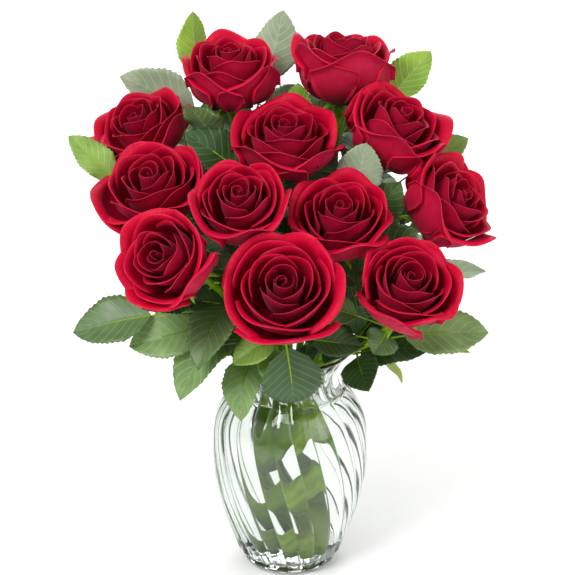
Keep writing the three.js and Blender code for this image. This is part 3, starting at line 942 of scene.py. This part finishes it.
def rib_angles(height, top):
    """The columns of each ring: packed towards the creases, and turned as the ribs swirl."""
    rib = 2 * math.pi / VASE_RIBS
    place = np.linspace(-1, 1, RIB_SEGMENTS, endpoint=False)
    place = np.sign(place) * (1 - (1 - np.abs(place)) ** 1.9)
    columns = (np.arange(VASE_RIBS)[:, None] + 0.5 + place[None, :] / 2).ravel() * rib
    turn = RIB_TWIST * (1 - height / top) ** 1.1
    return columns[None, :] + turn[:, None]


def crease_depth(count):
    """0 along the crowns of the panels and 1 in the creases between them."""
    place = np.linspace(-1, 1, RIB_SEGMENTS, endpoint=False)
    place = 1 - (1 - np.abs(place)) ** 1.9
    return np.tile(place ** 2.2, count)


def lathe(build, radius, angle, height):
    """A closed turned surface from rings of radii and angles; the two end rings are capped."""
    rows, columns = radius.shape
    points = np.stack([radius * np.cos(angle), radius * np.sin(angle),
                       np.broadcast_to(height[:, None], radius.shape)], axis=2).reshape(-1, 3)
    faces = []
    for i in range(rows - 1):
        for j in range(columns):
            k = (j + 1) % columns
            faces.append((i * columns + j, i * columns + k, (i + 1) * columns + k,
                          (i + 1) * columns + j))
    faces.append(tuple(range(columns))[::-1])
    faces.append(tuple(range((rows - 1) * columns, rows * columns)))
    v, u = np.meshgrid(np.linspace(0, 1, rows), np.linspace(0, 1, columns), indexing="ij")
    build.add(points, np.stack([u.ravel(), v.ravel()], axis=1), faces, [0] * len(faces))


def make_vase(material):
    """The glass: swirled panels outside, a plain hollow, a thick floor and a rounded lip."""
    heights, radii, wall, floor = vase_outline()
    top = heights[-1]
    r, h = smooth_profile(heights, radii, VASE_ROWS)
    fade = smooth(h / (12 * MM)) * (0.35 + 0.65 * smooth((top + 1 * MM - h) / (24 * MM)))
    creases = crease_depth(VASE_RIBS)[None, :]
    outside = r[:, None] - RIB_DEPTH * fade[:, None] * creases
    above = h > floor + 1.5 * MM
    thickness = wall + FLOOR_THICKENING * smooth(1 - (h - floor) / FLOOR_BLEND)
    inside = (r - thickness)[above][::-1, None] - 0.2 * RIB_DEPTH * creases
    inner_h = h[above][::-1]
    middle, half = (outside[-1] + inside[0]) / 2, (outside[-1] - inside[0]) / 2
    bend = np.linspace(0, math.pi, 7)[1:-1]
    lip = middle[None, :] + half[None, :] * np.cos(bend)[:, None]
    corner = inside[-1] * np.array([0.965, 0.9, 0.5, 0.03])[:, None]
    foot = outside[0] * np.array([0.03, 0.6, 0.9])[:, None]
    radius = np.vstack([foot, outside, lip, inside, corner])
    height = np.concatenate([np.array([1.8, 1.8, 0.5]) * MM, h, top + 1.2 * MM * np.sin(bend),
                             inner_h, floor + np.array([0.45, 0, 0, 0]) * MM])
    build = Build()
    lathe(build, radius, rib_angles(np.minimum(height, top), top), height)
    return build.finish("vase_body", [material], ["vase"])


def make_water(material):
    """The water, 0.25 mm into the glass so that no air shows between them."""
    heights, radii, wall, floor = vase_outline()
    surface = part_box("water")[1].z
    r, h = smooth_profile(heights, radii, VASE_ROWS)
    inside = r - wall - FLOOR_THICKENING * smooth(1 - (h - floor) / FLOOR_BLEND) + 0.25 * MM
    keep = (h > floor + 1.5 * MM) & (h < surface - 1 * MM)
    edge = np.interp(surface, h, inside)
    r = np.concatenate([[1 * MM, inside[keep][0] * 0.9], inside[keep], [edge, edge * 0.97,
                                                                       edge * 0.9, 1 * MM]])
    h = np.concatenate([[floor - 0.1 * MM] * 2, h[keep], [surface + 0.9 * MM, surface + 0.2 * MM,
                                                          surface, surface]])
    angle = np.linspace(0, 2 * math.pi, 96, endpoint=False)[None, :]
    build = Build()
    lathe(build, np.repeat(r[:, None], 96, axis=1), angle, h)
    return build.finish("water_body", [material], ["water"])


# ---- Camera, light and floor ----

def add_area(name, place, target, size, power):
    light = bpy.data.lights.new(name, "AREA")
    light.shape = "DISK"
    light.size = size
    light.energy = power
    lamp = bpy.data.objects.new(name, light)
    lamp.location = place
    lamp.rotation_euler = (Vector(target) - Vector(place)).to_track_quat("-Z", "Y").to_euler()
    bpy.context.scene.collection.objects.link(lamp)


def make_studio():
    """A white room with soft lamps; its walls are greyer low down, so glass edges read."""
    scene = bpy.context.scene
    scene.view_settings.view_transform = "Standard"
    world = bpy.data.worlds.new("studio")
    world.use_nodes = True
    tree = world.node_tree
    background = tree.nodes["Background"]
    direction = tree.nodes.new("ShaderNodeTexCoord")
    split = tree.nodes.new("ShaderNodeSeparateXYZ")
    ramp = tree.nodes.new("ShaderNodeValToRGB")
    ramp.color_ramp.elements[0].position = 0.02
    ramp.color_ramp.elements[0].color = (0.42, 0.45, 0.43, 1.0)
    ramp.color_ramp.elements[1].position = 0.55
    ramp.color_ramp.elements[1].color = (1.0, 1.0, 1.0, 1.0)
    tree.links.new(direction.outputs["Generated"], split.inputs[0])
    tree.links.new(split.outputs["Z"], ramp.inputs["Fac"])
    tree.links.new(ramp.outputs["Color"], background.inputs["Color"])
    background.inputs["Strength"].default_value = 0.85
    scene.world = world
    middle = (0, 0, 0.25)
    add_area("key", (-0.9, -1.3, 1.7), middle, 0.9, 30)
    add_area("fill", (1.3, -0.9, 0.8), middle, 1.2, 8)
    add_area("back", (0.2, 1.4, 1.2), middle, 1.2, 12)
    bpy.ops.mesh.primitive_circle_add(vertices=96, radius=6.0, fill_type="NGON")
    floor = bpy.context.object
    floor.name = "floor"
    floor.location.z = -0.0002
    floor.data.materials.append(floor_material())


def make_camera():
    camera = bpy.data.cameras.new("camera")
    camera.lens = CAMERA_LENS
    camera.sensor_width = 36
    camera.clip_start = 0.05
    eye = bpy.data.objects.new("camera", camera)
    back = Vector((0, -math.cos(CAMERA_ELEVATION), math.sin(CAMERA_ELEVATION)))
    eye.location = CAMERA_TARGET + back * CAMERA_DISTANCE
    eye.rotation_euler = (-back).to_track_quat("-Z", "Y").to_euler()
    bpy.context.scene.collection.objects.link(eye)
    bpy.context.scene.camera = eye


# ---- Everything ----

def make_flowers(stalk):
    """The blooms and their stems; returns where each bloom stands and how each stem runs."""
    # Each look: the foot's painted shade, the body, the rim's painted highlight, the painted sheen
    # colour and the sheen socket's weight.
    looks = [
        petal_material("petal_back", (0.20, 0.02, 0.016), (0.44, 0.003, 0.032),
                       (0.56, 0.006, 0.05), (0.58, 0.02, 0.09), 0.16),
        petal_material("petal_face", (0.10, 0.0, 0.006), (0.40, 0.0, 0.014),
                       (0.62, 0.0, 0.03), (0.62, 0.0, 0.05), 0.06),
    ]
    blooms = {rose: bloom_frame(rose) for rose in ROSES}
    lines = {rose: stem_line(rose, blooms[rose]) for rose in ROSES}
    for number, rose in enumerate(ROSES):
        make_bloom(rose, number, blooms[rose], looks)
        make_stem(rose, number, blooms[rose], lines[rose], stalk)
    return blooms, lines


def make_foliage(stalk, blooms, lines):
    """Every leaf of the CAD in its look, the lighter looks painted light, then the leaves that fill
    the gaps between.
    """
    tops = {
        "dark": leaf_material("leaf_dark", (0.018, 0.052, 0.014), (0.050, 0.110, 0.028),
                              (0.16, 0.25, 0.09)),
        "mid": leaf_material("leaf_mid", (0.05, 0.11, 0.03), (0.11, 0.19, 0.055),
                             (0.24, 0.34, 0.13)),
        "light": leaf_material("leaf_light", (0.09, 0.19, 0.045), (0.23, 0.35, 0.12),
                               (0.38, 0.48, 0.24)),
        "bright": leaf_material("leaf_bright", (0.12, 0.24, 0.03), (0.24, 0.38, 0.07),
                                (0.36, 0.48, 0.16)),
        "yellow": leaf_material("leaf_yellow", (0.26, 0.34, 0.05), (0.40, 0.46, 0.12),
                                (0.50, 0.55, 0.22)),
    }
    pale = underside_material("leaf_under", (0.24, 0.33, 0.20), (0.38, 0.46, 0.31))
    green = underside_material("leaf_under_green", (0.10, 0.19, 0.05), (0.20, 0.31, 0.10))
    bright = underside_material("leaf_under_bright", (0.20, 0.40, 0.03), (0.34, 0.55, 0.06))
    stem_points = np.vstack(list(lines.values()))
    for node in LEAVES:
        look = next((name for name, nodes in LEAF_LOOKS.items() if node in nodes), "dark")
        # The leaves of the bright and yellow looks take the brighter green underside: painted
        # light.
        under = bright if look in ("bright", "yellow") else green
        if node in PALE_UNDERSIDES:
            under = pale
        make_leaf(node, leaf_frame(node, stem_points), [tops[look], under, stalk])
    # The filling leaves lean to the dark look: painted shade in the gaps between the blooms.
    fillers = [[tops["dark"], pale, stalk], [tops["mid"], green, stalk],
               [tops["dark"], green, stalk]]
    fill_foliage(fillers, blooms, lines)


make_camera()
make_studio()
stalk = stem_material()
blooms, lines = make_flowers(stalk)
make_foliage(stalk, blooms, lines)
make_vase(glass_material())
make_water(water_material())
